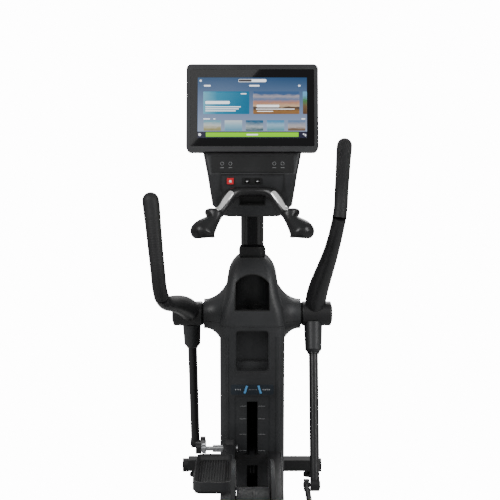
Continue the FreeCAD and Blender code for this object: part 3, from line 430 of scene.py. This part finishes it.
def screw(name, place, radius, body, axis="Y", sign=-1, matrix=None):
    """A button-head screw whose socket is sunk into the face that points out."""
    clear()
    bpy.ops.mesh.primitive_cylinder_add(vertices=36, radius=radius, depth=radius * 0.7, location=place,
                                        rotation=TURN_TO[axis])
    obj = bevelled(bpy.context.object, radius * 0.22, 3)
    bpy.ops.object.transform_apply(location=False, rotation=True, scale=False)
    index = "XYZ".index(axis)
    edit_faces(obj, lambda face: face.normal[index] * sign > 0.99)
    bpy.ops.mesh.inset(thickness=radius * 0.28)
    bpy.ops.mesh.extrude_region_shrink_fatten(TRANSFORM_OT_shrink_fatten={"value": -radius * 0.4})
    bpy.ops.object.mode_set(mode="OBJECT")
    return settle(obj, name, ZINC, body, matrix, smooth=30)


# %% [markdown]
# ### Handlebars
# The grips are one long rubber moulding each. Its outline is swept on from the end of the
# arm, with fine grooves where the hand goes, a lip at the bottom and a domed
# end. A curve with a radius at every point makes that, and it becomes a mesh at the end.

# %% The grips
SHOULDER_Y, SHOULDER_Z = 0.700, 0.790
SHOULDER = Vector((0, SHOULDER_Y, SHOULDER_Z))
GRIP_ROUTE = [(0.337, 0.350, 0.318), (0.343, 0.355, 0.366), (0.348, 0.338, 0.430), (0.356, 0.300, 0.505),
              (0.364, 0.256, 0.580), (0.370, 0.224, 0.630), (0.373, 0.211, 0.652)]
GRIP_RADII = [0.0275, 0.0273, 0.0275, 0.0285, 0.0300, 0.0315, 0.0310]


def on_handle(side):
    """The turn that a handlebar has at rest, about the shoulder shaft."""
    turn = Matrix.Rotation(math.radians(-22 * SIGN_OF[side]), 4, "X")
    return Matrix.Translation(SHOULDER) @ turn @ Matrix.Translation(-SHOULDER)


def between(values, along):
    """A smooth value at a place along a list, through all its members."""
    last = len(values) - 1
    index = min(int(along), last - 1)
    t = along - index
    before, after = max(index - 1, 0), min(index + 2, last)
    a, b, c, d = (values[i] for i in (before, index, index + 1, after))
    return b + 0.5 * t * ((c - a) + t * ((2 * a - 5 * b + 4 * c - d) + t * (3 * (b - c) + d - a)))


def grip(side):
    sign = SIGN_OF[side]
    route = [SHOULDER + Vector((sign * x, -back, up)) for x, back, up in GRIP_ROUTE]
    steps = 168
    rings = []
    for step in range(steps + 1):
        along = step / steps * (len(route) - 1)
        radius = between(GRIP_RADII, along)
        if step < 4:
            radius += 0.0006
        elif 14 < step < 120 and step % 3 == 0:
            radius -= 0.0009
        rings.append((between(route, along), radius))
    ahead = (route[-1] - route[-2]).normalized()
    for step in range(1, 10):
        rise = math.sin(math.radians(step * 10))
        rings.append((route[-1] + ahead * 0.031 * rise, 0.031 * math.cos(math.radians(step * 10))))
    clear()
    bpy.ops.curve.primitive_nurbs_path_add()
    obj = bpy.context.object
    obj.location = (0, 0, 0)
    curve = obj.data
    curve.splines.clear()
    spline = curve.splines.new("POLY")
    spline.points.add(len(rings) - 1)
    for point, (place, radius) in zip(spline.points, rings):
        point.co = (*place, 1)
        point.radius = radius
    curve.bevel_depth = 1.0
    curve.bevel_resolution = 10
    curve.use_fill_caps = True
    bpy.ops.object.convert(target="MESH")
    obj = settle(bpy.context.object, "grip_" + side, RUBBER, "handle_" + side, on_handle(side), smooth=50)
    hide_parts("handle_grip_" + side)


for side in SIGN_OF:
    grip(side)

# %% Hub caps, seals and lever collars
for side, sign in SIGN_OF.items():
    body, place = "handle_" + side, on_handle(side)
    disc("hub_cap_" + side, (sign * 0.3245, SHOULDER_Y, SHOULDER_Z), 0.034, 0.005, GLOSS, body,
         matrix=place, edge=0.002)
    hoop("hub_cap_ring_" + side, (sign * 0.3232, SHOULDER_Y, SHOULDER_Z), 0.0385, 0.0011, DARK_SHELL_AND_VENT_SHADE, body,
         matrix=place)
    disc("hub_seal_" + side, (sign * 0.1998, SHOULDER_Y, SHOULDER_Z), 0.046, 0.0026, RUBBER, "frame",
         edge=0.0008)
    disc("lever_collar_" + side, (sign * 0.249, SHOULDER_Y, 0.6265), 0.0245, 0.007, GLOSS, body, "Z",
         place, 0.0022)
    disc("lever_eye_cap_" + side, (sign * 0.2685, SHOULDER_Y, 0.100), 0.017, 0.004, ZINC, body, matrix=place)

# %% [markdown]
# ### Pedals
# Each pad is a rubber mat with long ribs that run with the foot and a raised rim. It lies
# in the tray at the pitch of the foot arm, worked out from the box of the plain pad.

# %% The pedal mats
def mat_matrix(side):
    """The middle of the CAD pad with the pitch of its foot arm."""
    low, high = (Vector(corner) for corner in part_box("pedal_pad_" + side))
    span = high.y - low.y
    rise = high.z - low.z
    length, thick = 0.3274, 0.009
    pitch = math.atan2(rise, span)
    for _ in range(12):
        pitch = math.atan2(rise - thick * math.cos(pitch), span - thick * math.sin(pitch))
    slope = -1 if arm_rises_backwards(side) else 1
    print("mat", side, round(math.degrees(pitch) * slope, 2), round(length, 4))
    return Matrix.Translation((low + high) / 2) @ Matrix.Rotation(slope * pitch, 4, "X")


def arm_rises_backwards(side):
    """Whether the crank pin's end of a foot arm is higher than the roller's end."""
    axle_low, axle_high = (Vector(corner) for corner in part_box("roller_axle_" + side))
    low, high = (Vector(corner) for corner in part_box("foot_arm_" + side))
    return (low.z + high.z) / 2 > (axle_low.z + axle_high.z) / 2


def pedal_mat(side):
    place = mat_matrix(side)
    clear()
    bpy.ops.mesh.primitive_cube_add(size=1, scale=(0.1274, 0.3274, 0.009))
    obj = bpy.context.object
    bpy.ops.object.transform_apply(location=False, rotation=False, scale=True)
    active(obj)
    bpy.context.tool_settings.mesh_select_mode = (False, True, False)
    for edge in obj.data.edges:
        a, b = (obj.data.vertices[i].co for i in edge.vertices)
        edge.select = abs(a.z - b.z) > 0.004
    bpy.ops.object.mode_set(mode="EDIT")
    bpy.ops.mesh.bevel(offset=0.0267, segments=8, affect="EDGES")
    bpy.ops.object.mode_set(mode="OBJECT")
    edit_faces(obj, lambda face: face.normal.z > 0.9)
    bpy.ops.mesh.inset(thickness=0.006)
    bpy.ops.mesh.extrude_region_shrink_fatten(TRANSFORM_OT_shrink_fatten={"value": -0.0035})
    bpy.ops.object.mode_set(mode="OBJECT")
    pieces = [bevelled(obj, 0.0008, 2, 30)]
    for index in range(11):
        clear()
        across = (index - 5) * 0.0098
        long = 0.296 if abs(index - 5) < 4 else 0.268
        bpy.ops.mesh.primitive_cube_add(size=1, location=(across, 0, 0.0017), scale=(0.0052, long, 0.0054))
        rib = bpy.context.object
        bpy.ops.object.transform_apply(location=False, rotation=False, scale=True)
        pieces.append(bevelled(rib, 0.0014, 3))
    clear()
    for piece in pieces:
        piece.select_set(True)
    bpy.context.view_layer.objects.active = pieces[0]
    bpy.ops.object.join()
    mat = settle(pieces[0], "pedal_mat_" + side, TREAD, "foot_arm_" + side, place)
    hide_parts("pedal_pad_" + side)


for side in SIGN_OF:
    pedal_mat(side)

# %% [markdown]
# ### Tower trim
# A collar closes the dome round the mast. The scale plate has two blue ramp strokes and
# a row of small blocks where a machine would have wording, and lines beside the slot mark the level.

# %% Collar, scale marks and level lines
label_low, label_high = (Vector(corner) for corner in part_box("level_label"))
plate_y = label_low.y - 0.0002
plate_z = (label_low.z + label_high.z) / 2
LEAN = math.radians(18)
dome_top = Vector(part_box("tower_upper_cover")[1]).z
for index, (rise, grow) in enumerate(((0.0005, 0.0080), (0.0065, 0.0062), (0.0125, 0.0044))):
    clear()
    bpy.ops.mesh.primitive_cube_add(size=1, scale=(0.092 + 2 * grow, 0.060 + 2 * grow, 0.0056),
                                    location=(0, 0.6935 - 0.21 * rise, dome_top + rise))
    collar = bpy.context.object
    bpy.ops.object.transform_apply(location=False, rotation=False, scale=True)
    active(collar)
    bpy.context.tool_settings.mesh_select_mode = (False, True, False)
    for edge in collar.data.edges:
        a, b = (collar.data.vertices[i].co for i in edge.vertices)
        edge.select = abs(a.z - b.z) > 0.002
    bpy.ops.object.mode_set(mode="EDIT")
    bpy.ops.mesh.bevel(offset=0.030, segments=8, affect="EDGES")
    bpy.ops.object.mode_set(mode="OBJECT")
    settle(bevelled(collar, 0.0014, 2), "mast_boot_%d" % index, DARK_SHELL_AND_VENT_SHADE, "frame")
for index, (x, lean) in enumerate(((-0.026, LEAN), (0.030, -LEAN))):
    turn = Matrix.Translation((x, plate_y, plate_z)) @ Matrix.Rotation(lean, 4, "Y")
    slab("ramp_stroke_%d" % index, (0, 0, 0), (0.0085, 0.0004, 0.034), BLUE_MARK, "frame", turn, 0.0001)
SCALE_MARKS = (-0.066, -0.057, -0.048, -0.012, -0.006, 0.0, 0.006, 0.012, 0.018, 0.044, 0.052, 0.060, 0.068)
for index, x in enumerate(SCALE_MARKS):
    tall = 0.0052 if x < -0.04 or x > 0.04 else 0.0026
    slab("scale_mark_%d" % index, (x, plate_y, plate_z), (tall * 0.8, 0.0004, tall), MARK, "frame",
         edge=0.0001)
LEVEL_LINES = (0.443, 0.390, 0.325, 0.256)
cover_face = 0.5450
for index, height in enumerate(LEVEL_LINES):
    for sign in (-1, 1):
        slab("level_line_%d_%d" % (index, sign + 1), (sign * 0.038, cover_face - 0.0001, height),
             (0.028, 0.0004, 0.0012), MARK, "frame", edge=0.0001)

# %% Screws, vents and caps on the rear covers, crank and axles
rear_face = Vector(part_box("rear_cover_right")[1]).x
CRANK_Y, CRANK_Z = -0.64032, 0.330
for side, sign in SIGN_OF.items():
    for index, (y, z) in enumerate(((-0.52, 0.480), (-0.74, 0.250), (-0.33, 0.150), (-0.20, 0.300))):
        screw("rear_cover_screw_%s_%d" % (side, index), (sign * (rear_face + 0.0006), y, z), 0.0050,
              "frame", "X", sign)
    # Each vent is a dark strip laid on the cover, not a cut slot: its darkness is painted shade for the open
    # slot.
    for index in range(7):
        place = (sign * (rear_face + 0.0002), -0.245 + 0.012 * index, 0.200)
        slab("rear_vent_shade_%s_%d" % (side, index), place, (0.0012, 0.0048, 0.070), DARK_SHELL_AND_VENT_SHADE, "frame",
             edge=0.0004)
    disc("crank_cap_" + side, (sign * 0.0655, CRANK_Y, CRANK_Z), 0.021, 0.004, ZINC, "crank", edge=0.0015)
    hoop("crank_rim_" + side, (sign * 0.0642, CRANK_Y, CRANK_Z), 0.292, 0.0014, GLOSS, "crank")
    axle_low, axle_high = (Vector(corner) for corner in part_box("roller_axle_" + side))
    axle = (axle_low + axle_high) / 2
    outer = axle_high.x if sign > 0 else axle_low.x
    disc("axle_cap_" + side, (outer + sign * 0.0012, axle.y, axle.z), 0.015, 0.0024, ZINC, "axle_" + side,
         edge=0.0008)
for sign in (-1, 1):
    wheel_low, wheel_high = (Vector(corner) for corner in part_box("transport_wheels"))
    disc("wheel_hub_%d" % (sign + 1), (sign * (wheel_high.x + 0.0004), (wheel_low.y + wheel_high.y) / 2,
         (wheel_low.z + wheel_high.z) / 2), 0.011, 0.003, GLOSS, "transport_wheels")

# %% [markdown]
# ### Console
# The fascia panel has plain symbols in place of wording, and the keys carry small marks.
# The back shell has a row of vents, dark strips that are painted shade for open slots, and four screws.
# Nothing here is a word.

# %% Marks, vents and screws on the console
key_low, key_high = (Vector(corner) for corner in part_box("stop_button"))
slab("stop_mark", ((key_low.x + key_high.x) / 2, key_low.y - 0.0001, (key_low.z + key_high.z) / 2),
     (0.0090, 0.0006, 0.0090), WHITE_MARK, "stop_button", edge=0.0001)
for side in SIGN_OF:
    low, high = (Vector(corner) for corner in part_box("toggle_" + side))
    slab("toggle_mark_" + side, ((low.x + high.x) / 2, low.y - 0.0001, (low.z + high.z) / 2),
         (0.0070, 0.0004, 0.0034), WHITE_MARK, "toggle_" + side, edge=0.0001)
PANEL_TURN = Matrix.Rotation(math.radians(-11.04), 4, "X")
ON_PANEL = Matrix.Translation((0, 0.5755, 1.384)) @ PANEL_TURN
for index, x in enumerate((-0.118, -0.086, 0.086, 0.118)):
    hoop("panel_symbol_%d" % index, (x, -0.0035, 0.034), 0.0062, 0.0006, MARK, "frame", "Y", ON_PANEL)
    slab("panel_bar_%d" % index, (x, -0.0035, 0.018), (0.014, 0.0005, 0.0016), MARK, "frame", ON_PANEL,
         0.0001)
slab("key_ledge", (0, 0.5722, 1.3790), (0.246, 0.0090, 0.0070), SHELL, "frame", edge=0.0025)
for sign in (-1, 1):
    slab("key_deck_edge_%d" % (sign + 1), (sign * 0.124, 0.5742, 1.3420), (0.0016, 0.0050, 0.068),
         DARK_SHELL_AND_VENT_SHADE, "frame", edge=0.0004)
slab("phone_divider", (0, 0.590, 1.2575), (0.092, 0.004, 0.004), DARK_SHELL_AND_VENT_SHADE, "frame", edge=0.001)
# The head vents are dark strips laid on the back shell, painted shade standing in for open slots.
for index in range(12):
    slab("head_vent_shade_%d" % index, (-0.066 + 0.012 * index, 0.0440, 0.095), (0.0045, 0.0012, 0.040),
         DARK_SHELL_AND_VENT_SHADE, "frame", ON_HEAD, 0.0004)
for index, (u, v) in enumerate(((-0.225, 0.140), (0.225, 0.140), (-0.225, -0.140), (0.225, -0.140))):
    screw("head_screw_%d" % index, (u, 0.0446, v), 0.0045, "frame", "Y", 1, ON_HEAD)
print("small pieces in place")

# %% [markdown]
# ## Studio
# The machine stands on a pale floor with soft light from above and both sides, as for a
# catalogue. The camera is a long lens, a little above head height, looking down ten
# degrees.

# %% Floor, lights and camera
BACKDROP = 14.0
AMBIENT = 0.36
clear()
bpy.ops.mesh.primitive_plane_add(size=60, location=(0, 0, -0.001))
floor = bpy.context.object
floor.name = "studio_floor"
floor_finish = bpy.data.materials.new("pale_floor")
floor_finish.use_nodes = True
floor_nodes, floor_links = floor_finish.node_tree.nodes, floor_finish.node_tree.links
floor_shader = floor_nodes["Principled BSDF"]
floor_shader.inputs["Base Color"].default_value = (0.5, 0.5, 0.5, 1)
floor_shader.inputs["Roughness"].default_value = 0.9
floor_glow = floor_nodes.new("ShaderNodeEmission")
floor_glow.inputs["Strength"].default_value = BACKDROP
floor_path = floor_nodes.new("ShaderNodeLightPath")
floor_mix = floor_nodes.new("ShaderNodeMixShader")
floor_links.new(floor_path.outputs["Is Camera Ray"], floor_mix.inputs[0])
floor_links.new(floor_shader.outputs["BSDF"], floor_mix.inputs[1])
floor_links.new(floor_glow.outputs["Emission"], floor_mix.inputs[2])
floor_links.new(floor_mix.outputs["Shader"], floor_nodes["Material Output"].inputs["Surface"])
floor.data.materials.append(floor_finish)

world = bpy.data.worlds.new("studio")
bpy.context.scene.world = world
world.use_nodes = True
sky = world.node_tree.nodes["Background"]
sky.inputs["Color"].default_value = (1, 1, 1, 1)
sky_path = world.node_tree.nodes.new("ShaderNodeLightPath")
sky_level = world.node_tree.nodes.new("ShaderNodeMapRange")
sky_level.inputs["To Min"].default_value = AMBIENT
sky_level.inputs["To Max"].default_value = BACKDROP
world.node_tree.links.new(sky_path.outputs["Is Camera Ray"], sky_level.inputs["Value"])
world.node_tree.links.new(sky_level.outputs["Result"], sky.inputs["Strength"])


def softbox(name, place, target, size, power):
    lamp = bpy.data.lights.new(name, "AREA")
    lamp.shape = "RECTANGLE"
    lamp.size, lamp.size_y = size
    lamp.energy = power
    obj = bpy.data.objects.new(name, lamp)
    bpy.context.scene.collection.objects.link(obj)
    obj.location = place
    obj.rotation_euler = (Vector(target) - Vector(place)).to_track_quat("-Z", "Y").to_euler()
    return obj


softbox("key", (-2.6, -2.2, 3.4), (0, 0.5, 1.0), (1.4, 2.2), 90)
softbox("fill", (2.8, -1.6, 2.6), (0, 0.5, 0.9), (1.2, 2.4), 60)
softbox("back", (0.5, 3.2, 3.0), (0, 0.4, 1.0), (2.5, 1.2), 60)

# A card seen only in reflections lays a slanting sheen across the screen's upper left.
CARD_UP, CARD_AWAY = Vector((0, 0.481, 0.877)), Vector((0, -0.877, 0.481))
card_middle = head_centre + CARD_AWAY * 3.0
clear()
bpy.ops.mesh.primitive_plane_add(size=1)
card = bpy.context.object
card.name = "reflection_card"
CARD_CORNERS = ((-1.6, -0.32), (-0.459, -0.32), (-1.6, 0.32), (0.118, 0.32))
for vertex, (across, along) in zip(card.data.vertices, CARD_CORNERS):
    vertex.co = card_middle + CARD_UP * along + Vector((across, 0, 0))
card_finish = bpy.data.materials.new("reflection_card")
card_finish.use_nodes = True
card_shader = card_finish.node_tree.nodes["Principled BSDF"]
card_shader.inputs["Emission Color"].default_value = (1, 1, 1, 1)
card_shader.inputs["Emission Strength"].default_value = 1.7
card.data.materials.append(card_finish)
card.visible_camera = False
card.visible_diffuse = False

shoulder_centre = sum((Vector(corner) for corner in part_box("shoulder_shaft")), Vector()) / 2
CAMERA_BACK, CAMERA_HEIGHT, CAMERA_PITCH = 4.80, 1.90, 10.0
camera_data = bpy.data.cameras.new("camera")
camera_data.sensor_width = 36
camera_data.lens = 86.4
camera = bpy.data.objects.new("camera", camera_data)
bpy.context.scene.collection.objects.link(camera)
camera.location = (-0.009, shoulder_centre.y - CAMERA_BACK, CAMERA_HEIGHT)
camera.rotation_euler = (math.radians(90 - CAMERA_PITCH), 0, 0)
bpy.context.scene.camera = camera

# %% Finish
bpy.context.view_layer.update()
